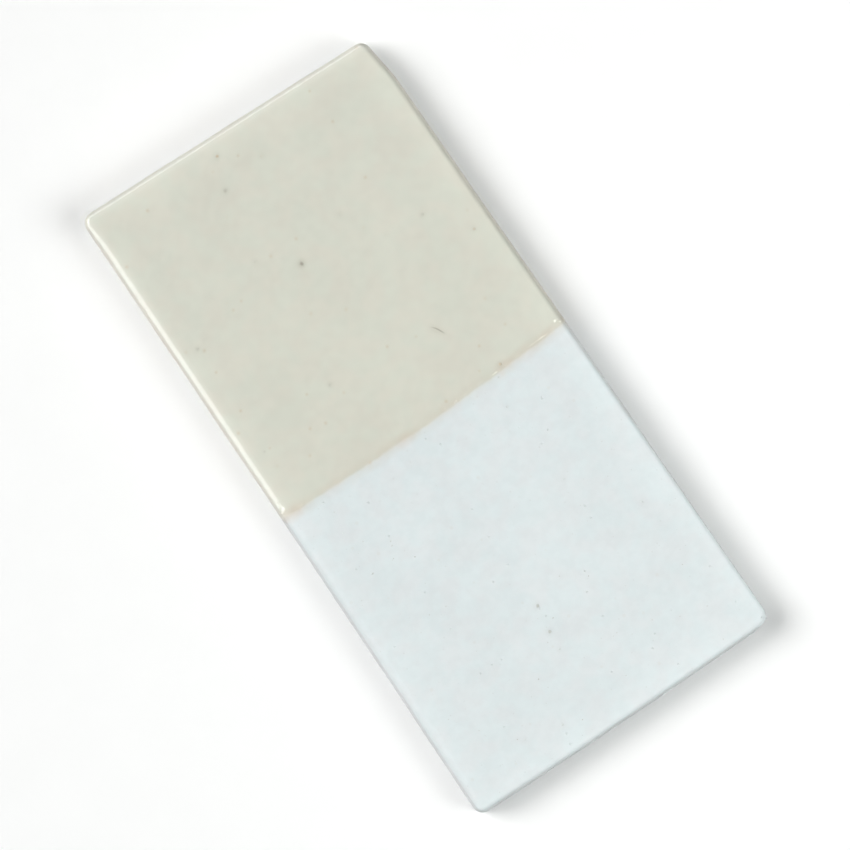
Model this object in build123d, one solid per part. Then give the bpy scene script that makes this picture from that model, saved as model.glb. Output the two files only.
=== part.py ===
from build123d import *

import math
import os

# A half-glazed clay sample tile: a hand-cut slab of pale fired clay, lying flat. A clear glaze coat covers
# the far half of its top and the walls round that half, down to a bare band above the base. Grains of iron
# mineral sit in the clay, flush with its top face, and show through the glaze.
#
# Millimetres. X runs across the tile, +Y along it towards the glazed end, and +Z up. The tile's bounding
# box is centred on the Z axis, and the base that it rests on is at zero.

# The slab. It was cut by hand, so its corners aren't quite square and no two sides are the same length. Its
# walls spread a little towards the base, and the outline below is the one at its top.
SLAB_THICKNESS = 6.0
WALL_LEAN = 5.5  # degrees from upright
GLAZED_LEFT = (-22.9, 48.35)
GLAZED_RIGHT = (21.5, 47.1)
SHOULDER = (22.3, 41.0)  # where the knife began to wander inwards, towards the corner GLAZED_RIGHT
BARE_RIGHT = (23.65, -47.85)
BARE_LEFT = (-23.3, -47.8)
LEFT_SIDE_HOLLOW = 0.15  # how far the long left side bends in at its middle
BARE_END_SWELL = 0.22  # how far the bare end bulges out at its middle
CORNER_RADII = (
    (GLAZED_LEFT, 1.1),
    (GLAZED_RIGHT, 0.95),
    (SHOULDER, 14.0),
    (BARE_RIGHT, 1.6),
    (BARE_LEFT, 0.95),
)
TOP_ARRIS = 0.6  # radius of the sponged edge round the top
BASE_ARRIS = 0.9  # radius of the sponged edge round the base

# The glaze coat.
GLAZE_THICKNESS = 0.25
BARE_FOOT = 1.4  # height of the band above the base that was wiped clean of glaze
GLAZE_LINE = ((-26.0, -0.05), (-1.0, -0.4), (26.0, 0.85))  # the glaze's edge, from left to right

# The iron grains: x, y and diameter of the top of each, on the glazed half and then on the bare half.
GRAINS = (
    (-1.9, 27.0, 0.85),
    (-4.9, 40.9, 0.65),
    (-3.2, 45.3, 0.6),
    (1.7, 42.0, 0.4),
    (6.1, 29.6, 0.35),
    (15.3, 23.4, 0.5),
    (20.0, 17.9, 0.5),
    (-6.9, 30.7, 0.4),
    (-19.9, 25.3, 0.5),
    (-7.8, 11.4, 0.5),
    (12.7, 0.9, 0.6),
    (-1.3, -28.9, 0.75),
    (-1.9, -32.7, 0.7),
    (-2.1, -35.4, 0.45),
    (10.3, -4.4, 0.45),
    (11.2, -16.7, 0.35),
    (18.2, -25.2, 0.4),
    (-7.4, -44.0, 0.45),
    (-12.7, -42.9, 0.35),
)
GRAIN_SIDES = 7
GRAIN_DEPTH = 0.7  # as a share of the grain's diameter
GRAIN_TAPER = 18.0  # degrees, so that each grain narrows downwards
GRAIN_TURN = 47.0  # degrees between one grain and the next, so that no two lie alike
SPLINTER = ((7.5, 10.5, 0.12), (8.3, 9.6, 0.2), (8.95, 8.3, 0.36))  # x, y and width along the long grain
SPLINTER_DEPTH = 0.2


def slab_outline():
    """The slab's outline at half its height as a face, with every corner rounded."""
    sides = [
        SagittaArc(BARE_LEFT, GLAZED_LEFT, -LEFT_SIDE_HOLLOW),
        Line(GLAZED_LEFT, GLAZED_RIGHT),
        Line(GLAZED_RIGHT, SHOULDER),
        Line(SHOULDER, BARE_RIGHT),
        SagittaArc(BARE_RIGHT, BARE_LEFT, BARE_END_SWELL),
    ]
    outline = make_face(sides)
    for corner, radius in CORNER_RADII:
        nearest = outline.vertices().sort_by_distance(Vector(*corner))[0]
        outline = fillet(nearest, radius)
    return outline


def leaning_prism(outline, thickness, low, high):
    """The slab's shape from one height to another, before its edges are rounded, and grown by a thickness."""
    spread = (SLAB_THICKNESS - low) * math.tan(math.radians(WALL_LEAN))
    foot = offset(outline, thickness + spread)
    return Pos(0, 0, low) * extrude(foot, high - low, taper=WALL_LEAN)


def rounded_slab(outline):
    """The slab without its grains."""
    slab = leaning_prism(outline, 0, 0, SLAB_THICKNESS)
    slab = fillet(slab.faces().sort_by(Axis.Z)[-1].edges(), TOP_ARRIS)
    return fillet(slab.faces().sort_by(Axis.Z)[0].edges(), BASE_ARRIS)


def iron_grains():
    """Every grain as a small faceted solid whose flat top lies in the slab's top face."""
    top = Plane.XY.offset(SLAB_THICKNESS)
    solids = []
    for number, (x, y, diameter) in enumerate(GRAINS):
        facets = RegularPolygon(diameter / 2, GRAIN_SIDES, rotation=number * GRAIN_TURN)
        grain = extrude(facets, -GRAIN_DEPTH * diameter, taper=GRAIN_TAPER)
        solids.append(top * Pos(x, y, 0) * grain)
    solids.append(top * extrude(splinter_outline(), -SPLINTER_DEPTH))
    return [grain.solids()[0] for grain in solids]


def splinter_outline():
    """The long grain seen from above: a bent sliver that widens from one end to the other."""
    (x0, y0, _), (x1, y1, _) = SPLINTER[0], SPLINTER[-1]
    across = Vector(y0 - y1, x1 - x0).normalized()
    middles = [(Vector(x, y), across * (width / 2)) for x, y, width in SPLINTER]
    near = [middle + half for middle, half in middles]
    far = [middle - half for middle, half in reversed(middles)]
    return make_face(Polyline(*near, *far, close=True))


def glaze_coat(outline, slab):
    """The glaze: a thin shell over the slab beyond the glaze line, ending above the bare foot."""
    outer = leaning_prism(outline, GLAZE_THICKNESS, BARE_FOOT, SLAB_THICKNESS + GLAZE_THICKNESS)
    outer = fillet(outer.faces().sort_by(Axis.Z)[-1].edges(), TOP_ARRIS + GLAZE_THICKNESS)
    left, _, right = GLAZE_LINE
    far_end = 2 * GLAZED_LEFT[1]
    dipped = make_face([
        ThreePointArc(*GLAZE_LINE),
        Polyline(right, (right[0], far_end), (left[0], far_end), left),
    ])
    return (outer & extrude(dipped, SLAB_THICKNESS + 2 * GLAZE_THICKNESS)) - slab


def main():
    outline = slab_outline()
    slab = rounded_slab(outline)
    glaze = glaze_coat(outline, slab)
    grains = iron_grains()
    for grain in grains:
        slab = slab - grain
    middle = Compound([slab, glaze]).bounding_box().center()
    to_origin = Pos(-middle.X, -middle.Y, 0)
    nodes = {"clay_slab": slab, "clear_glaze": glaze, "iron_grains": Compound(grains)}
    os.makedirs("parts", exist_ok=True)
    for name, shape in nodes.items():
        export_step(to_origin * shape, f"parts/{name}.step")


main()
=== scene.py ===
import math

import bmesh
import bpy
import numpy as np
from mathutils import Matrix, Vector, noise


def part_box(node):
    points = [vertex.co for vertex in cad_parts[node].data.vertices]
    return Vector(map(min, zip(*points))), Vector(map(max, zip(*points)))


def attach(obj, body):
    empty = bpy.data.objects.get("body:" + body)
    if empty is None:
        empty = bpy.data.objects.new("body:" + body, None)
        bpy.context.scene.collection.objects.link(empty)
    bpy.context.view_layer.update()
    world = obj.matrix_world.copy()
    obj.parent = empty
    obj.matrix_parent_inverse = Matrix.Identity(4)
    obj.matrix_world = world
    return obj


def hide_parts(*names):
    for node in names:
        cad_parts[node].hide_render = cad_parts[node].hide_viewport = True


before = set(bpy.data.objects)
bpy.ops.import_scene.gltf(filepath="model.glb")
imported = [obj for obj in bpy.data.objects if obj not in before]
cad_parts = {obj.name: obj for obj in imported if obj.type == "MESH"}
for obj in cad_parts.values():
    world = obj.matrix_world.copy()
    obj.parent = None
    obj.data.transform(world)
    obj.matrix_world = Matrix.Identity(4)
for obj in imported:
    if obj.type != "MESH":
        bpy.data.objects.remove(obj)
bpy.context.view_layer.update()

# A half-glazed sample tile of hand-cut clay. Metres, in the frame of the CAD model: X across the tile,
# +Y along it towards the glazed end, +Z up, with the base at zero. The clay, the glaze and the iron
# grains are each remade in finer detail around the outline, heights and places of their CAD nodes.

MM = 0.001
SEED = 7

# What the CAD model says.
SLAB_LOW, SLAB_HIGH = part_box("clay_slab")
GLAZE_LOW, GLAZE_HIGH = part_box("clear_glaze")
SLAB_TOP = SLAB_HIGH.z
GLAZE_THICKNESS = GLAZE_HIGH.z - SLAB_HIGH.z
FOOT_HEIGHT = GLAZE_LOW.z + 0.3 * MM  # where the glaze stops, above the base, on the whole

# The outline is read off the CAD slab. Its wall is cut at two heights, for the outline and the lean.
UPPER_HEIGHT = 0.8 * SLAB_TOP
LOWER_HEIGHT = 0.3 * SLAB_TOP
OUTLINE_STEP = 0.1 * MM
OUTLINE_SMOOTHING = 3  # passes, which soften the corners

# The slab's edges and walls.
TOP_ARRIS = 0.6 * MM
LEFT_ARRIS = 1.35 * MM  # the left side was sponged rounder than the rest
BASE_ARRIS = 0.9 * MM
CORNER_SHARE = 0.05  # the share of a side, next to a corner, over which its edge changes
LEAST_LEAN = 0.2  # the share of the wall's lean that is left at the near end of the right side
FULL_LEAN_SHARE = 0.6  # how far along the right side, from that end, the wall leans as it should

# The top isn't flat: it has a trough along its left side, and droops towards the other three.
TROUGH_DEPTH = 0.11 * MM
TROUGH_FROM_LEFT = 5.5 * MM
TROUGH_WIDTH = 2.6 * MM
RIGHT_DROOP = (0.2 * MM, 6 * MM)  # its depth at the side, and how far in it begins
NEAR_DROOP = (0.22 * MM, 5 * MM)
FAR_DROOP = (0.08 * MM, 4 * MM)
TOP_SWELLS = ((22 * MM, 0.05 * MM), (7 * MM, 0.018 * MM))  # each layer's size and height
TOP_SUNK = 0.02 * MM  # as a whole, so that the swells stay about level with the CAD top

# The glaze line: a shallow curve whose lowest point is the CAD glaze's.
LINE_TURN = -7.5 * MM  # the curve's lowest point, across the tile
LINE_BEND = 1.16  # per metre
LINE_WAVES = ((7 * MM, 0.1 * MM), (2.2 * MM, 0.07 * MM), (0.8 * MM, 0.035 * MM))  # size and height
FOOT_WAVES = ((9 * MM, 0.35 * MM), (2 * MM, 0.1 * MM))

# The coat.
EDGE_WIDTH = 0.4 * MM  # over which the glaze rises from its edge
LEAST_COAT = 0.03 * MM
EDGE_BITE = 0.02 * MM  # how far its edge is sunk into the clay
CLAY_GAP = 0.015 * MM  # between the clay and the glaze's inner face
MILKY_WIDTH = 0.9 * MM  # of the band beside the far and left sides where the glaze pools and clouds

# A short run of thicker glaze.
RUN_FROM_RIGHT = 2.6 * MM
RUN_FROM_LINE = 16.3 * MM
RUN_WIDTH = 0.4 * MM
RUN_LENGTH = 1.1 * MM

# Iron grains.
DARKEST_GRAIN = 0.42 * MM  # the half width of a grain that shows at full strength
RUSTY_REACH = 7 * MM  # iron burns rusty where the glaze is thin, within this distance of its free edges
SLIVER_STRENGTH = 0.9  # how strongly the one long grain shows, from 0 to 1
BARE_STRENGTH = 0.75  # a grain shows less in bare clay, which is dusty, than through the glaze
DUST_COUNT = 320
DUST_RADIUS = 0.045 * MM

# Mesh fineness.
CLAY_CELL = 0.35 * MM
GLAZE_CELL = 0.28 * MM
GLAZE_FIRST_CELL = 0.05 * MM  # at the glaze's own edge
CELL_GROWTH = 1.16


def smoothstep(value):
    """0 below 0, 1 above 1, and a smooth rise between."""
    value = np.clip(value, 0, 1)
    return value * value * (3 - 2 * value)


def wave(points, size, seed):
    """Smooth noise of about -1 to 1 at each point. Its swells are about size across, and size is one
    length, or one for each axis."""
    shift = np.array([seed * 17.3, seed * 5.9, seed * 11.1])
    scaled = points / np.array(size) + shift
    return 1.6 * np.array([noise.noise(Vector(point)) for point in scaled])


def waves(points, layers, seed):
    """The sum of several layers of noise, each a size and a height."""
    return sum(height * wave(points, size, seed + n) for n, (size, height) in enumerate(layers))


# --------------------------------------------------------------------------------------------------
# The outline, read from the CAD slab's wall
# --------------------------------------------------------------------------------------------------

def outline_at(node, height):
    """The plan of a CAD node's outer wall at a height, counter-clockwise."""
    mesh = bmesh.new()
    mesh.from_mesh(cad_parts[node].data)
    everything = [*mesh.verts, *mesh.edges, *mesh.faces]
    cut = bmesh.ops.bisect_plane(mesh, geom=everything, plane_co=(0, 0, height), plane_no=(0, 0, 1))
    plan = np.array([item.co[:2] for item in cut["geom_cut"] if isinstance(item, bmesh.types.BMVert)])
    mesh.free()
    plan = np.unique(plan.round(7), axis=0)
    return plan[np.argsort(np.arctan2(plan[:, 1], plan[:, 0]))]


def evenly(points, step):
    """A closed line's points, spaced evenly about step apart. The last one repeats the first."""
    closed = np.vstack([points, points[:1]])
    lengths = np.linalg.norm(np.diff(closed, axis=0), axis=1)
    along = np.concatenate([[0], np.cumsum(lengths)])
    wanted = np.linspace(0, along[-1], round(along[-1] / step) + 1)
    return np.column_stack([np.interp(wanted, along, closed[:, axis]) for axis in range(2)])


def neighbours(ring):
    """The points before and after each point of a closed ring that doesn't repeat its first point."""
    return np.roll(ring, 1, axis=0), np.roll(ring, -1, axis=0)


UPPER_CUT = outline_at("clay_slab", UPPER_HEIGHT)
WALL_SPREAD = np.ptp(outline_at("clay_slab", LOWER_HEIGHT)[:, 0]) / 2 - np.ptp(UPPER_CUT[:, 0]) / 2
WALL_LEAN = math.atan2(WALL_SPREAD, UPPER_HEIGHT - LOWER_HEIGHT)
WALL_TILT = math.pi / 2 - WALL_LEAN  # the wall's outward direction, from straight up


def outline_from_frame():
    """The points of the outline at the upper cut, the directions that face out of it, and where along it
    the four corners are. It starts at the near left corner and runs counter-clockwise, with its first
    point again at the end."""
    ring = evenly(UPPER_CUT, OUTLINE_STEP)[:-1]
    for _ in range(OUTLINE_SMOOTHING):
        before, after = neighbours(ring)
        ring = (before + 2 * ring + after) / 4
    corners = [int(np.argmax(ring @ np.array(way))) for way in ((-1, -1), (1, -1), (1, 1), (-1, 1))]
    ring = np.roll(ring, -corners[0], axis=0)
    corners = [(corner - corners[0]) % len(ring) for corner in corners] + [len(ring)]
    before, after = neighbours(ring)
    ahead = after - before
    outward = np.column_stack([ahead[:, 1], -ahead[:, 0]])
    outward /= np.linalg.norm(outward, axis=1)[:, None]
    return np.vstack([ring, ring[:1]]), np.vstack([outward, outward[:1]]), corners


OUTLINE, OUTWARD, CORNERS = outline_from_frame()
NEAR, RIGHT, FAR, LEFT = range(4)  # the turn at which each side starts


def on_outline(turn, inset=0.0):
    """Plan points on the outline, moved in by inset, and the directions that face outwards there. A turn
    counts the sides passed since the near left corner: 0 to 1 is the near side, then come the right, far
    and left."""
    step = np.interp(turn, range(5), CORNERS)
    steps = np.arange(len(OUTLINE))
    points = np.column_stack([np.interp(step, steps, OUTLINE[:, axis]) for axis in range(2)])
    outward = np.column_stack([np.interp(step, steps, OUTWARD[:, axis]) for axis in range(2)])
    outward /= np.linalg.norm(outward, axis=1)[:, None]
    return points - np.reshape(inset, (-1, 1)) * outward, outward


def arris_radius(turn):
    """The radius of the rounded top edge."""
    share = np.clip(turn - LEFT, 0, 1)
    rounder = smoothstep(share / CORNER_SHARE) * smoothstep((1 - share) / CORNER_SHARE)
    return TOP_ARRIS + (LEFT_ARRIS - TOP_ARRIS) * rounder


SIDE_LINES = [on_outline(np.linspace(side, side + 1, 60))[0] for side in range(4)]


def gaps(points):
    """How far each point is in plan from the near, right, far and left sides."""
    x, y = points[:, 0], points[:, 1]
    near, right, far, left = SIDE_LINES
    return (
        y - np.interp(x, near[:, 0], near[:, 1]),
        np.interp(y, right[:, 1], right[:, 0]) - x,
        np.interp(x, far[::-1, 0], far[::-1, 1]) - y,
        x - np.interp(y, left[::-1, 1], left[::-1, 0]),
    )


# --------------------------------------------------------------------------------------------------
# The clay's surface
# --------------------------------------------------------------------------------------------------

def glaze_reach(points):
    """How far each point is inside the glaze's edge, and negative outside it. It is measured to the glaze
    line across the tile, and on the walls also to the wiped foot."""
    x, y, z = points.T
    line = GLAZE_LOW.y + LINE_BEND * (x - LINE_TURN) ** 2 + waves(points, LINE_WAVES, SEED)
    foot = FOOT_HEIGHT + waves(points, FOOT_WAVES, SEED + 5)
    return np.minimum(y - line, z - foot)


def sunk(points):
    """How far the top is below the flat CAD top."""
    near, right, far, left = gaps(points)
    trough = TROUGH_DEPTH * np.exp(-((left - TROUGH_FROM_LEFT) / TROUGH_WIDTH) ** 2)
    drooping = ((right, RIGHT_DROOP), (near, NEAR_DROOP), (far, FAR_DROOP))
    droop = sum(depth * (1 - smoothstep(gap / width)) for gap, (depth, width) in drooping)
    swells = waves(points * (1, 1, 0), TOP_SWELLS, SEED + 10)
    return trough + droop + swells + TOP_SUNK


def grit(points, facing):
    """How far the clay stands out of its smooth shape: fine grain on the bare top, drag marks of the knife
    on the walls, and a rougher base."""
    up = np.clip(facing[:, 2], 0, 1)
    down = np.clip(-facing[:, 2], 0, 1)
    wall = 1 - up - down
    glazed = smoothstep(glaze_reach(points) / (0.5 * MM))
    grain = waves(points, ((1.7 * MM, 0.009 * MM), (0.75 * MM, 0.007 * MM)), SEED + 20)
    grain = grain * (1 - 0.8 * glazed)
    drag = waves(points, (((7 * MM, 7 * MM, 0.5 * MM), 0.035 * MM), (1.2 * MM, 0.02 * MM)), SEED + 30)
    base = 0.03 * MM * (waves(points, ((4 * MM, 0.5), (1.1 * MM, 0.5)), SEED + 40) - 0.9)
    return grain * up + drag * wall * (1 - 0.5 * glazed) + np.minimum(base, 0) * down


def fired(points, facing):
    """Points on the smooth slab, moved to where the fired clay has them."""
    out = points + facing * grit(points, facing)[:, None]
    out[:, 2] -= sunk(points) * np.clip(points[:, 2] / SLAB_TOP, 0, 1)
    return out


def profile_ring(turn, inset, height, tilt):
    """One ring round the slab: smooth points and the ways they face. inset and height can differ along the
    ring. tilt is the angle of the surface's outward direction from straight up."""
    plan, outward = on_outline(turn, inset)
    points = np.column_stack([plan, np.broadcast_to(height, len(plan))])
    facing = np.column_stack([outward * math.sin(tilt), np.full(len(plan), math.cos(tilt))])
    return points, facing


def spread(turn, height):
    """How far the leaning wall stands out beyond the outline at a height. The right side's wall comes
    upright towards the near end."""
    share = turn - RIGHT
    lean = np.where(share > 0, LEAST_LEAN + (1 - LEAST_LEAN) * smoothstep(share / FULL_LEAN_SHARE), 1)
    lean = np.where(share < 0, 1 - (1 - LEAST_LEAN) * smoothstep(1 + share / CORNER_SHARE), lean)
    return lean * math.tan(WALL_LEAN) * (UPPER_HEIGHT - height)


def wall_top(turn):
    """The height at which the top arris meets the wall."""
    return SLAB_TOP - arris_radius(turn) * (1 - math.sin(WALL_LEAN))


def top_inset(turn, tilt=0.0):
    """How far in from the outline the rounded top edge is at a tilt, and by default where the flat top
    starts."""
    return arris_radius(turn) * (1 - math.sin(tilt)) - spread(turn, wall_top(turn))


def top_arris(turn, tilt):
    """A ring on the rounded top edge."""
    height = SLAB_TOP - arris_radius(turn) * (1 - math.cos(tilt))
    return profile_ring(turn, top_inset(turn, tilt), height, tilt)


def wall(turn, share, foot):
    """A ring on the wall, at a share of the way from the top arris down to the foot."""
    height = wall_top(turn) + (foot - wall_top(turn)) * share
    return profile_ring(turn, -spread(turn, height), height, WALL_TILT)


def base_inset(turn, tilt=math.pi):
    """How far in from the outline the rounded base edge is at a tilt, and by default where the flat base
    starts."""
    height = BASE_ARRIS * (1 + math.cos(WALL_TILT))
    return BASE_ARRIS * (math.sin(WALL_TILT) - math.sin(tilt)) - spread(turn, height)


def base_arris(turn, tilt):
    """A ring on the rounded edge round the base."""
    return profile_ring(turn, base_inset(turn, tilt), BASE_ARRIS * (1 + math.cos(tilt)), tilt)


def fill(near, far, left, right, u, v):
    """Plan points that fill the area between four lines of points, blended from them. near and far run
    from left to right with one point for each u, and left and right from near to far with one for each
    v."""
    u = u[:, None, None]
    v = v[None, :, None]
    across = (1 - u) * left[None] + u * right[None]
    along = (1 - v) * near[:, None] + v * far[:, None]
    near_corners = (1 - u) * (1 - v) * near[0] + u * (1 - v) * near[-1]
    corners = near_corners + (1 - u) * v * far[0] + u * v * far[-1]
    return across + along - corners


def level(plan, height, way):
    """Plan points set at one height, and the way they all face."""
    points = np.column_stack([plan.reshape(-1, 2), np.full(plan.size // 2, height)])
    return points, np.tile((0.0, 0.0, way), (len(points), 1))


# --------------------------------------------------------------------------------------------------
# Meshes
# --------------------------------------------------------------------------------------------------

def quads(index):
    """The four-sided faces between neighbours in a table of vertex numbers."""
    corners = (index[:-1, :-1], index[1:, :-1], index[1:, 1:], index[:-1, 1:])
    return np.stack(corners, axis=-1).reshape(-1, 4)


def islands(node):
    """The vertices of each separate solid of a CAD node, as arrays of points in a fixed order."""
    mesh = bmesh.new()
    mesh.from_mesh(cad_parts[node].data)
    bmesh.ops.remove_doubles(mesh, verts=mesh.verts, dist=0.001 * MM)
    unseen = set(mesh.verts)
    found = []
    while unseen:
        group = [unseen.pop()]
        for vertex in group:
            linked = {edge.other_vert(vertex) for edge in vertex.link_edges} & unseen
            unseen -= linked
            group.extend(linked)
        found.append(np.array(sorted(tuple(vertex.co) for vertex in group)))
    mesh.free()
    return sorted(found, key=lambda group: tuple(group.mean(axis=0)))


def principal(plan):
    """The middle of some plan points, their half length and half width, and the two ways those run, as
    columns."""
    middle = (plan.min(axis=0) + plan.max(axis=0)) / 2
    ways = np.linalg.eigh(np.cov((plan - middle).T))[1][:, ::-1]
    return middle, np.ptp(plan @ ways, axis=0) / 2, ways


def make_piece(name, points, faces, materials):
    """A smooth-shaded mesh that rides on the tile's one body."""
    mesh = bpy.data.meshes.new(name)
    mesh.from_pydata(points.tolist(), [], [face for group in faces for face in group.tolist()])
    mesh.validate()
    mesh.shade_smooth()
    for material in materials:
        mesh.materials.append(material)
    piece = bpy.data.objects.new(name, mesh)
    bpy.context.scene.collection.objects.link(piece)
    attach(piece, "root")
    return piece


def add_values(piece, name, values):
    """Keeps one number for each vertex, for the piece's material to read."""
    attribute = piece.data.attributes.new(name, "FLOAT", "POINT")
    attribute.data.foreach_set("value", values.astype(np.float32))


def steps_for(length, cell):
    """Evenly spaced shares from 0 to 1, about one cell apart."""
    return np.linspace(0, 1, round(length / cell) + 1)


def grain_strength(half_width):
    """How strongly a grain shows, from 0 to 1. The narrower ones lie deeper in the clay and show less."""
    return float(np.clip((half_width / DARKEST_GRAIN) ** 1.5, 0.3, 1))


def stain(points):
    """How strongly iron has bled into the clay round its larger grains, from 0 to 1."""
    bled = np.zeros(len(points))
    for plan in (solid[:, :2] for solid in islands("iron_grains")):
        middle, half_sizes, ways = principal(plan)
        away = (points[:, :2] - middle) @ ways / (0.75 * half_sizes + 0.22 * MM)
        around = np.exp(-(away ** 2).sum(axis=1)) * (points[:, 2] > SLAB_TOP / 2)
        bled += grain_strength(half_sizes[1]) * around
    return np.clip(bled, 0, 1)


def make_clay(material):
    """The whole slab: a grid over the top and another under the base, joined by rings round the edge."""
    size = SLAB_HIGH - SLAB_LOW
    u = steps_for(size.x, CLAY_CELL)
    v = steps_for(size.y, CLAY_CELL)
    turn = np.concatenate([NEAR + u[:-1], RIGHT + v[:-1], FAR + u[:-1], LEFT + v[:-1]])

    def sheet(inset, height, way):
        sides = [on_outline(t, inset(t))[0] for t in (NEAR + u, FAR + 1 - u, LEFT + 1 - v, RIGHT + v)]
        return level(fill(*sides, u, v), height, way)

    def rim(index):
        return np.concatenate([index[:-1, 0], index[-1, :-1], index[:0:-1, -1], index[0, :0:-1]])

    rings = [top_arris(turn, tilt) for tilt in np.linspace(0, WALL_TILT, 9)[1:]]
    wall_foot = BASE_ARRIS * (1 + math.cos(WALL_TILT))
    rings += [wall(turn, share, wall_foot) for share in np.linspace(0, 1, 13)[1:]]
    rings += [base_arris(turn, tilt) for tilt in np.linspace(WALL_TILT, math.pi, 8)[1:-1]]
    layers = [sheet(top_inset, SLAB_TOP, 1.0), *rings, sheet(base_inset, 0.0, -1.0)]
    points = np.vstack([layer[0] for layer in layers])
    facing = np.vstack([layer[1] for layer in layers])

    top = np.arange(len(u) * len(v)).reshape(len(u), len(v))
    around = top.size + np.arange(len(rings) * len(turn)).reshape(len(rings), len(turn))
    base = around[-1, -1] + 1 + top
    bands = np.vstack([rim(top), around, rim(base)])
    bands = np.hstack([bands, bands[:, :1]])
    faces = [quads(top), quads(bands), quads(base)[:, ::-1]]
    clay = make_piece("clay_body", fired(points, facing), faces, [material])
    add_values(clay, "glaze_reach", glaze_reach(points) / MM)
    add_values(clay, "rim", np.min(gaps(points), axis=0) / MM)
    add_values(clay, "stain", stain(points))
    _, _, far, left = gaps(points)
    add_values(clay, "pooled", np.exp(-(np.minimum(far, left) / MILKY_WIDTH) ** 2))
    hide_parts("clay_slab")
    return clay


# --------------------------------------------------------------------------------------------------
# The glaze
# --------------------------------------------------------------------------------------------------

def glaze_depth(points, facing):
    """The glaze's thickness: a rounded bead at its edge that is fattest where it leaves the top, a thinner
    coat over the arris, a fat roll above the foot, a pool along the left side and a smaller one along the
    right, one short run, and a slightly uneven surface."""
    reach = np.clip(glaze_reach(points), 0, None)
    _, right, _, left = gaps(points)
    edge = np.clip(reach / EDGE_WIDTH, 0, 1)
    rise = np.sqrt(1 - (1 - edge) ** 2)
    ends = 1 - smoothstep(np.minimum(left, right) / (1.8 * MM))
    bead = (0.25 + 0.7 * ends) * np.exp(-((reach - 0.7 * MM) / (0.45 * MM)) ** 2)
    lumps = np.exp(-reach / (1.2 * MM)) * wave(points, 1.3 * MM, SEED + 50)
    upright = np.clip(1 - facing[:, 2], 0, 1)
    thin = 0.35 * np.sin(math.pi * upright) ** 2
    low = 0.25 * upright * smoothstep(1 - points[:, 2] / (3 * MM))
    pool = 0.8 * np.exp(-(left / (1.7 * MM)) ** 2) + 0.3 * np.exp(-(right / (1.2 * MM)) ** 2)
    past_line = points[:, 1] - GLAZE_LOW.y
    from_run = ((right - RUN_FROM_RIGHT) / RUN_WIDTH) ** 2 + ((past_line - RUN_FROM_LINE) / RUN_LENGTH) ** 2
    run = 0.6 * np.exp(-from_run)
    uneven = waves(points, ((6 * MM, 0.05), (1.6 * MM, 0.025)), SEED + 60)
    return GLAZE_THICKNESS * rise * (1 + bead + 0.3 * lumps - thin + low + pool + run + uneven)


def graded(length):
    """Shares from 0 to 1 along a length, close together at its start and then a full cell apart."""
    steps = [GLAZE_FIRST_CELL]
    while sum(steps) < length:
        steps.append(min(steps[-1] * CELL_GROWTH, GLAZE_CELL))
    along = np.concatenate([[0], np.cumsum(steps)])
    return along / along[-1]


def line_crossing(side):
    """The turn at which the glaze line meets the right or left side."""
    turn = np.linspace(side, side + 1, 400)
    plan, _ = on_outline(turn)
    reach = glaze_reach(np.column_stack([plan, np.full(len(plan), SLAB_TOP)]))
    order = np.argsort(reach)
    return np.interp(0, reach[order], turn[order])


def make_glaze(material):
    """The glaze: an outer surface over the far half of the top and its walls, and an inner one against the
    clay. The two share their vertices along the glaze's edge."""
    right_end, left_end = line_crossing(RIGHT), line_crossing(LEFT)
    u = steps_for(GLAZE_HIGH.x - GLAZE_LOW.x, GLAZE_CELL)
    v = graded(GLAZE_HIGH.y - GLAZE_LOW.y)
    right = right_end + (RIGHT + 1 - right_end) * v
    left = left_end - (left_end - LEFT) * v
    turn = np.concatenate([right, FAR + u[1:], left[::-1][1:]])

    ends = np.array([left_end, right_end])
    across = on_outline(ends, top_inset(ends))[0]
    near = across[0] + (across[1] - across[0]) * u[:, None]
    for _ in range(4):
        reach = glaze_reach(np.column_stack([near, np.full(len(near), SLAB_TOP)]))
        near[1:-1, 1] -= reach[1:-1]
    sides = [on_outline(t, top_inset(t))[0] for t in (FAR + 1 - u, left, right)]
    top_points, top_facing = level(fill(near, *sides, u, v), SLAB_TOP, 1.0)

    rings = [top_arris(turn, tilt) for tilt in np.linspace(0, WALL_TILT, 9)[1:]]
    foot_points = np.column_stack([on_outline(turn)[0], np.full(len(turn), FOOT_HEIGHT)])
    foot = FOOT_HEIGHT + waves(foot_points, FOOT_WAVES, SEED + 5)
    down_wall = 1 - graded(SLAB_TOP - TOP_ARRIS - FOOT_HEIGHT)[::-1][1:]
    rings += [wall(turn, share, foot) for share in down_wall]
    points = np.vstack([top_points] + [ring[0] for ring in rings])
    facing = np.vstack([top_facing] + [ring[1] for ring in rings])

    top = np.arange(len(u) * len(v)).reshape(len(u), len(v))
    around = top.size + np.arange(len(rings) * len(turn)).reshape(len(rings), len(turn))
    rim = np.concatenate([top[-1, :], top[-2::-1, -1], top[0, -2::-1]])
    bands = np.vstack([rim, around])
    edge = np.unique(np.concatenate([top[:, 0], bands[-1], bands[:, 0], bands[:, -1]]))

    on_clay = fired(points, facing)
    depth = glaze_depth(points, facing)
    outer = on_clay + facing * np.maximum(depth, LEAST_COAT)[:, None]
    outer[edge] = on_clay[edge] - facing[edge] * EDGE_BITE
    inner = on_clay + facing * CLAY_GAP
    inner_number = np.arange(len(points)) + len(points)
    inner_number[edge] = edge
    outer_faces = np.vstack([quads(top), quads(bands)])
    inner_faces = inner_number[outer_faces[:, ::-1]]
    faces = [outer_faces, inner_faces]
    glaze = make_piece("glaze_coat", np.vstack([outer, inner]), faces, [material])
    delete_loose(glaze)
    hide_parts("clear_glaze")
    return glaze


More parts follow.
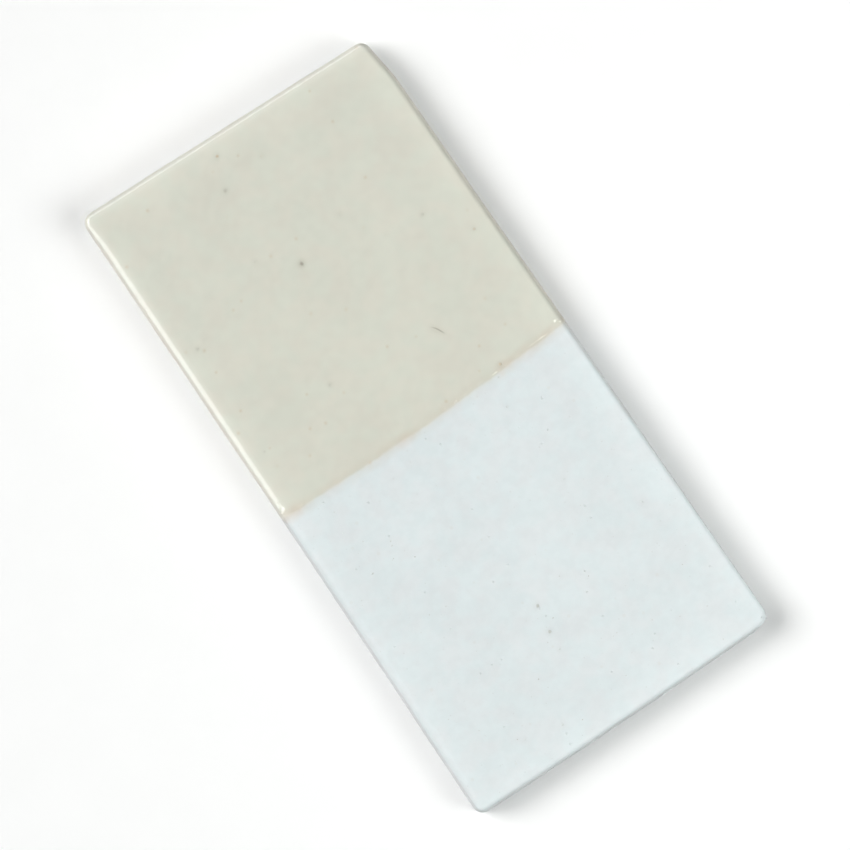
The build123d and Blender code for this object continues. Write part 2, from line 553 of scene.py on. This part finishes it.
def delete_loose(piece):
    """Deletes the vertices that no face uses."""
    mesh = bmesh.new()
    mesh.from_mesh(piece.data)
    loose = [vertex for vertex in mesh.verts if not vertex.link_faces]
    bmesh.ops.delete(mesh, geom=loose, context="VERTS")
    mesh.to_mesh(piece.data)
    mesh.free()


# --------------------------------------------------------------------------------------------------
# Iron grains
# --------------------------------------------------------------------------------------------------

def ball(detail):
    """A faceted ball of radius 1: its points, and its faces as a table of vertex numbers."""
    mesh = bmesh.new()
    bmesh.ops.create_icosphere(mesh, subdivisions=detail, radius=1)
    points = np.array([vertex.co for vertex in mesh.verts])
    faces = np.array([[vertex.index for vertex in face.verts] for face in mesh.faces])
    mesh.free()
    return points, faces


def crumb(shape, half_sizes, heading, seed):
    """An irregular grain: a ball pushed in and out, stretched to its half sizes and turned to its
    heading."""
    bumps = waves(shape, ((1.1, 0.22), (0.5, 0.1)), seed)
    grain = shape * (1 + bumps)[:, None] * np.array(half_sizes)
    return grain @ np.array(Matrix.Rotation(-heading, 3, "Z"))


def sliver(shape, plan, seed):
    """A long grain that follows a CAD grain's bends and grows wider as it does: a ball stretched along the
    middle of the CAD grain's outline, whose corners come in pairs."""
    _, _, ways = principal(plan)
    pairs = plan[np.argsort(plan @ ways[:, 0])].reshape(-1, 2, 2)
    middles = pairs.mean(axis=1)
    half_widths = np.linalg.norm(pairs[:, 0] - pairs[:, 1], axis=1) / 2
    along = (shape[:, 0] + 1) / 2
    places = np.linspace(0, 1, len(pairs))
    middle = np.column_stack([np.interp(along, places, middles[:, axis]) for axis in range(2)])
    half_width = np.interp(along, places, half_widths) * (1 + 0.3 * wave(shape, 0.6, seed))
    out = middle + ways[:, 1] * (shape[:, 1] * half_width)[:, None]
    return np.column_stack([out, 0.4 * shape[:, 2] * half_width])


def top_height(x, y):
    """The height of the clay's top at one place."""
    spot = np.array([[x, y, SLAB_TOP]])
    return fired(spot, np.array([[0.0, 0.0, 1.0]]))[0, 2]


def is_rusty(x, y):
    """Whether iron at a place on the top has burnt rusty."""
    _, right, far, _ = gaps(np.array([[x, y]]))
    past_line = y - GLAZE_LOW.y
    return past_line > 0 and min(past_line, right[0], far[0]) < RUSTY_REACH


class Grains:
    """Many grains gathered into one piece, with what the iron material reads for each of their
    vertices."""

    def __init__(self, detail):
        self.shape, self.shape_faces = ball(detail)
        self.points = []
        self.faces = []
        self.strengths = []
        self.rusts = []

    def add(self, grain, strength, rusty):
        """Adds one grain, which fades into the clay towards its rim."""
        from_middle = np.hypot(self.shape[:, 0], self.shape[:, 1])
        self.faces.append(self.shape_faces + len(self.points) * len(self.shape))
        self.points.append(grain)
        self.strengths.append(strength * (0.2 + 0.8 * smoothstep((1.05 - from_middle) / 0.6)))
        self.rusts.append(np.full(len(self.shape), float(rusty)))

    def piece(self, name, material):
        points = np.vstack(self.points)
        piece = make_piece(name, points, self.faces, [material])
        add_values(piece, "glaze_reach", glaze_reach(points) / MM)
        add_values(piece, "strength", np.concatenate(self.strengths))
        add_values(piece, "rust", np.concatenate(self.rusts))
        return piece


def make_grains(material):
    """The larger grains, where the CAD grains are. Each barely stands out of the clay's top."""
    grains = Grains(3)
    for number, solid in enumerate(islands("iron_grains")):
        middle, (length, width), ways = principal(solid[:, :2])
        if length > 3 * width:
            corners = np.unique(solid[:, :2].round(7), axis=0)
            grain = sliver(grains.shape, corners, SEED + number)
            strength = SLIVER_STRENGTH
        else:
            heading = math.atan2(ways[1, 0], ways[0, 0])
            half_sizes = (0.8 * length, 0.8 * width, 0.3 * width)
            grain = crumb(grains.shape, half_sizes, heading, SEED + number)
            grain[:, :2] += middle
            under_glaze = glaze_reach(np.array([[*middle, SLAB_TOP]]))[0] > 0
            strength = grain_strength(width) * (1 if under_glaze else BARE_STRENGTH)
        grain[:, 2] += top_height(*middle) - 0.1 * width
        grains.add(grain, strength, is_rusty(*middle))
    piece = grains.piece("iron_grains_large", material)
    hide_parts("iron_grains")
    return piece


def make_dust(material):
    """Fine grains scattered over the top, too small to be in the CAD model."""
    random = np.random.default_rng(SEED)
    dust = Grains(2)
    for number in range(DUST_COUNT):
        x = random.uniform(0.96 * SLAB_LOW.x, 0.94 * SLAB_HIGH.x)
        y = random.uniform(0.97 * SLAB_LOW.y, 0.97 * SLAB_HIGH.y)
        radius = min(DUST_RADIUS * random.lognormal(0.0, 0.4), 3 * DUST_RADIUS)
        stretch = random.uniform(0.7, 1.4)
        half_sizes = (radius * stretch, radius / stretch, 0.4 * radius)
        grain = crumb(dust.shape, half_sizes, number * 2.4, SEED + number)
        grain += (x, y, top_height(x, y) - 0.05 * radius)
        dust.add(grain, random.uniform(0.3, 0.8), is_rusty(x, y) and random.uniform() < 0.6)
    return dust.piece("iron_dust", material)


# --------------------------------------------------------------------------------------------------
# Materials
# --------------------------------------------------------------------------------------------------

class Graph:
    """A material's nodes, added one at a time. An input given as a node's output is linked, and any other
    is set."""

    def __init__(self, name):
        self.material = bpy.data.materials.new(name)
        self.material.use_nodes = True
        self.tree = self.material.node_tree
        self.tree.nodes.clear()
        self.place = self.add("ShaderNodeTexCoord").outputs["Object"]

    def add(self, kind, inputs=(), **settings):
        node = self.tree.nodes.new(kind)
        for key, value in settings.items():
            setattr(node, key, value)
        for key, value in dict(inputs).items():
            if isinstance(value, bpy.types.NodeSocket):
                self.tree.links.new(value, node.inputs[key])
            else:
                node.inputs[key].default_value = value
        return node

    def read(self, name):
        """A number kept for each vertex."""
        return self.add("ShaderNodeAttribute", attribute_name=name).outputs["Fac"]

    def noise(self, size, detail=2.0, roughness=0.5):
        """Noise from 0 to 1 whose swells are about size across, in metres."""
        inputs = {"Vector": self.place, "Scale": 1 / size, "Detail": detail, "Roughness": roughness}
        return self.add("ShaderNodeTexNoise", inputs).outputs["Fac"]

    def math(self, operation, first, second=0.0, third=0.0):
        node = self.add("ShaderNodeMath", {0: first, 1: second, 2: third}, operation=operation)
        return node.outputs["Value"]

    def ramp(self, value, low, high, start=0.0, end=1.0):
        """start where value is below low, end where it is above high, and smooth between."""
        inputs = {"Value": value, "From Min": low, "From Max": high, "To Min": start, "To Max": end}
        return self.add("ShaderNodeMapRange", inputs, interpolation_type="SMOOTHSTEP").outputs["Result"]

    def mix(self, share, first, second, blend="MIX"):
        node = self.add("ShaderNodeMix", data_type="RGBA", blend_type=blend)
        for key, value in ((0, share), (6, first), (7, second)):
            if isinstance(value, bpy.types.NodeSocket):
                self.tree.links.new(value, node.inputs[key])
            else:
                node.inputs[key].default_value = value
        return node.outputs[2]

    def dots(self, pitch, radius, share, seed):
        """Scattered dots: one cell in every pitch, a share of which hold a dot. 1 inside a dot and 0
        outside."""
        shift = (seed * MM * 31, seed * MM * 17, 0)
        move = self.add("ShaderNodeVectorMath", {0: self.place, 1: shift}).outputs[0]
        cells = self.add("ShaderNodeTexVoronoi", {"Vector": move, "Scale": 1 / pitch})
        inside = self.ramp(cells.outputs["Distance"], radius / pitch * 0.6, radius / pitch, 1.0, 0.0)
        chance = self.add("ShaderNodeSeparateColor", {"Color": cells.outputs["Color"]}).outputs["Red"]
        chosen = self.math("LESS_THAN", chance, share)
        return self.math("MULTIPLY", inside, chosen)

    def bump(self, height, distance, strength=1.0, normal=None):
        inputs = {"Height": height, "Distance": distance, "Strength": strength}
        if normal is not None:
            inputs["Normal"] = normal
        return self.add("ShaderNodeBump", inputs).outputs["Normal"]

    def finish(self, shader):
        self.add("ShaderNodeOutputMaterial", {"Surface": shader})
        return self.material


def paint(red, green, blue):
    """A colour given as it is seen, 0 to 255, for a socket that takes light."""
    return (*(((c / 255 + 0.055) / 1.055) ** 2.4 for c in (red, green, blue)), 1.0)


BARE_CLAY = paint(220, 227, 229)
GLAZED_CLAY = paint(219, 219, 211)
FLASH = paint(212, 204, 193)
MILKY_GLAZE = paint(240, 241, 236)
RUST = paint(192, 164, 122)
DARK_IRON = paint(150, 144, 130)
PALE_IRON = paint(186, 184, 172)
BLED_IRON = paint(124, 114, 92)

# Tints multiply the clay's colour.
PINK_TINT = (1.0, 0.985, 0.98, 1.0)
GREEN_TINT = (0.985, 1.0, 0.995, 1.0)
WALL_TINT = (0.91, 0.88, 0.87, 1.0)  # the knife-cut walls are darker than the sponged top


def clay_body(g, reach):
    """White bare clay, and cream where the glaze has wetted it."""
    return g.mix(g.ramp(reach, -0.35, 0.35), BARE_CLAY, GLAZED_CLAY)


def edge_colours(g, body, reach, glazed):
    """The body with a tan flash in patches along the glaze's edge, and milky where the glaze has pooled."""
    patches = g.ramp(g.noise(4 * MM, 2), 0.35, 0.7, 0.25, 0.75)
    inner = g.ramp(reach, 0.3, 1.5, 1.0, 0.0)
    outer = g.ramp(reach, -1.6, 0.3)
    body = g.mix(g.math("MULTIPLY", g.math("MULTIPLY", inner, outer), patches), body, FLASH)
    pooled = g.math("MULTIPLY", g.read("pooled"), glazed)
    return g.mix(g.math("MULTIPLY", pooled, 0.5), body, MILKY_GLAZE)


def mottled(g, body):
    """The body with swells and flecks that are faintly lighter, darker, pink and green, a paler sponged rim,
    and darker walls."""
    tint = g.mix(g.ramp(g.noise(3.2 * MM, 3), 0.35, 0.65), PINK_TINT, GREEN_TINT)
    body = g.mix(1.0, body, tint, "MULTIPLY")
    swells = g.ramp(g.noise(8 * MM, 5, 0.6), 0.3, 0.7, 0.98, 1.015)
    flecks = g.ramp(g.noise(1.3 * MM, 3), 0.3, 0.7, 0.985, 1.015)
    worn = g.ramp(g.read("rim"), 0.0, 6.0, 1.06, 1.0)
    light = g.math("MULTIPLY", g.math("MULTIPLY", swells, flecks), worn)
    shade = g.add("ShaderNodeCombineColor", {0: light, 1: light, 2: light}).outputs[0]
    body = g.mix(1.0, body, shade, "MULTIPLY")
    facing = g.add("ShaderNodeSeparateXYZ", {0: g.add("ShaderNodeNewGeometry").outputs["Normal"]})
    upright = g.ramp(g.math("ABSOLUTE", facing.outputs["Z"]), 0.15, 0.6, 1.0, 0.0)
    return g.mix(upright, body, g.mix(1.0, body, WALL_TINT, "MULTIPLY"))


def marked_by_iron(g, body, glazed):
    """The body with a peppering of mineral, dark and rusty, and a stain round each of the larger grains."""
    body = g.mix(g.math("MULTIPLY", g.dots(1.1 * MM, 0.12 * MM, 0.35, 1), 0.12), body, DARK_IRON)
    rust_share = g.math("MULTIPLY_ADD", glazed, 0.16, 0.06)
    body = g.mix(g.math("MULTIPLY", g.dots(2.1 * MM, 0.3 * MM, 0.3, 2), rust_share), body, RUST)
    stain_share = g.math("MULTIPLY_ADD", glazed, 0.15, 0.16)
    return g.mix(g.math("MULTIPLY", g.read("stain"), stain_share), body, BLED_IRON)


def clay_material():
    """Pale fired clay: white, sandy and pitted where it is bare, and cream and smoother under the glaze."""
    g = Graph("fired_clay")
    wobble = g.math("MULTIPLY", g.math("SUBTRACT", g.noise(0.9 * MM, 3), 0.5), 0.5)
    reach = g.math("ADD", g.read("glaze_reach"), wobble)
    glazed = g.ramp(reach, -0.35, 0.35)
    body = edge_colours(g, clay_body(g, reach), reach, glazed)
    body = marked_by_iron(g, mottled(g, body), glazed)

    bare = g.math("SUBTRACT", 1.0, glazed)
    sand = g.noise(0.22 * MM, 4, 0.6)
    normal = g.bump(sand, 0.02 * MM, g.math("MULTIPLY_ADD", bare, 0.75, 0.1))
    pits = g.math("MULTIPLY", g.dots(1.6 * MM, 0.14 * MM, 0.35, 3), -1.0)
    normal = g.bump(pits, 0.06 * MM, bare, normal)
    shader = g.add("ShaderNodeBsdfPrincipled", {
        "Base Color": body,
        "Roughness": g.ramp(sand, 0.3, 0.7, 0.78, 0.92),
        "Normal": normal,
        "Specular IOR Level": 0.25,
    })
    return g.finish(shader.outputs[0])


def glaze_material():
    """Clear, glossy glaze: it mirrors a little and lets the rest of the light through to the clay. Only the
    outer face of the coat mirrors."""
    g = Graph("clear_gloss_glaze")
    peel = g.bump(g.noise(1.4 * MM, 2), 0.012 * MM)
    pinholes = g.math("MULTIPLY", g.dots(2.6 * MM, 0.13 * MM, 0.3, 4), -1.0)
    normal = g.bump(pinholes, 0.08 * MM, 1.0, peel)
    fresnel = g.add("ShaderNodeFresnel", {"IOR": 1.52, "Normal": normal}).outputs[0]
    outside = g.math("SUBTRACT", 1.0, g.add("ShaderNodeNewGeometry").outputs["Backfacing"])
    gloss = g.add("ShaderNodeBsdfGlossy", {
        "Color": (1, 1, 1, 1),
        "Roughness": g.ramp(g.noise(3 * MM), 0.3, 0.7, 0.05, 0.1),
        "Normal": normal,
    })
    clear = g.add("ShaderNodeBsdfTransparent", {"Color": (0.995, 0.995, 0.985, 1)})
    share = g.math("MULTIPLY", fresnel, outside)
    shader = g.add("ShaderNodeMixShader", {0: share, 1: clear.outputs[0], 2: gloss.outputs[0]})
    return g.finish(shader.outputs[0])


def iron_material():
    """Burnt iron mineral in the clay: grey-brown grains, some of them rusty, that fade into the clay's own
    colour where they lie deeper."""
    g = Graph("iron_mineral")
    speckled = g.mix(g.noise(0.15 * MM, 3), DARK_IRON, PALE_IRON)
    iron = g.mix(g.read("rust"), speckled, RUST)
    colour = g.mix(g.read("strength"), clay_body(g, g.read("glaze_reach")), iron)
    normal = g.bump(g.noise(0.1 * MM, 3), 0.01 * MM)
    inputs = {"Base Color": colour, "Roughness": 0.7, "Normal": normal}
    shader = g.add("ShaderNodeBsdfPrincipled", inputs)
    return g.finish(shader.outputs[0])


def floor_material():
    """White, even paper."""
    g = Graph("white_paper")
    tint = g.ramp(g.noise(6 * MM, 3), 0.3, 0.7, 0.975, 0.985)
    colour = g.add("ShaderNodeCombineColor", {0: tint, 1: tint, 2: tint}).outputs[0]
    return g.finish(g.add("ShaderNodeBsdfDiffuse", {"Color": colour}).outputs[0])


# --------------------------------------------------------------------------------------------------
# Floor, light and camera
# --------------------------------------------------------------------------------------------------

def make_floor():
    """A sheet of white paper under the tile, just clear of its base."""
    half, below = 1.5, 0.02 * MM
    corners = [(-half, -half, -below), (half, -half, -below), (half, half, -below), (-half, half, -below)]
    mesh = bpy.data.meshes.new("paper")
    mesh.from_pydata(corners, [], [(0, 1, 2, 3)])
    mesh.materials.append(floor_material())
    floor = bpy.data.objects.new("paper", mesh)
    bpy.context.scene.collection.objects.link(floor)


def make_softbox(name, azimuth, zenith, distance, size, brightness, colour=(1, 1, 1), gleam_only=False):
    """A large soft lamp that faces the tile, so many degrees round it from +X and down from straight above.
    Its size is a share of its distance. It can't be seen itself. One that is gleam_only just shows in
    gloss."""
    lamp = bpy.data.lights.new(name, "AREA")
    lamp.shape = "RECTANGLE"
    lamp.size, lamp.size_y = distance * size[0], distance * size[1]
    lamp.energy = brightness * math.pi * lamp.size * lamp.size_y
    lamp.color = colour
    softbox = bpy.data.objects.new(name, lamp)
    around, down = math.radians(azimuth), math.radians(zenith)
    way = Vector((math.cos(around) * math.sin(down), math.sin(around) * math.sin(down), math.cos(down)))
    softbox.location = way * distance
    softbox.rotation_euler = way.to_track_quat("Z", "Y").to_euler()
    softbox.visible_camera = False
    softbox.visible_diffuse = not gleam_only
    bpy.context.scene.collection.objects.link(softbox)


def make_sky(colour, strength):
    """Even light from all round."""
    world = bpy.data.worlds.new("tent")
    world.use_nodes = True
    background = world.node_tree.nodes["Background"]
    background.inputs["Color"].default_value = (*colour, 1)
    background.inputs["Strength"].default_value = strength
    bpy.context.scene.world = world


VIEW_CENTRE = (-0.41 * MM, -0.51 * MM)
VIEW_WIDTH = 114.3 * MM  # across the picture, at the height of the tile's top
VIEW_TURN = -34  # degrees, which puts the glazed end towards the upper left


def make_camera():
    """A long lens, straight above the tile."""
    camera = bpy.data.cameras.new("overhead")
    camera.lens = 300
    camera.clip_start = 0.01
    distance = VIEW_WIDTH * camera.lens / camera.sensor_width
    overhead = bpy.data.objects.new("overhead", camera)
    overhead.location = (*VIEW_CENTRE, SLAB_TOP + distance)
    overhead.rotation_euler = (0, 0, math.radians(VIEW_TURN))
    bpy.context.scene.collection.objects.link(overhead)
    bpy.context.scene.camera = overhead


make_camera()
clay = clay_material()
iron = iron_material()
make_clay(clay)
make_glaze(glaze_material())
make_grains(iron)
make_dust(iron)
make_floor()

# As on a copy stand, the tile lies between two large lamps. The key stands further off than the fill, so
# that its light falls off less across the tile. The gleams give the bright lines along the glazed edges.
make_sky((0.92, 0.98, 1.05), 0.06)
make_softbox(
    "key", azimuth=135, zenith=42, distance=2.4, size=(0.6, 0.7), brightness=6.88, colour=(1.0, 0.997, 0.985)
)
make_softbox(
    "fill", azimuth=315, zenith=42, distance=0.6, size=(0.6, 0.7), brightness=4.25, colour=(0.98, 1.0, 0.98)
)
make_softbox(
    "left_gleam", azimuth=180, zenith=60, distance=1.2, size=(0.5, 1.0), brightness=4.5, gleam_only=True
)
make_softbox(
    "far_gleam", azimuth=90, zenith=50, distance=1.2, size=(0.5, 0.5), brightness=3.5, gleam_only=True
)
bpy.context.scene.view_settings.view_transform = "Standard"
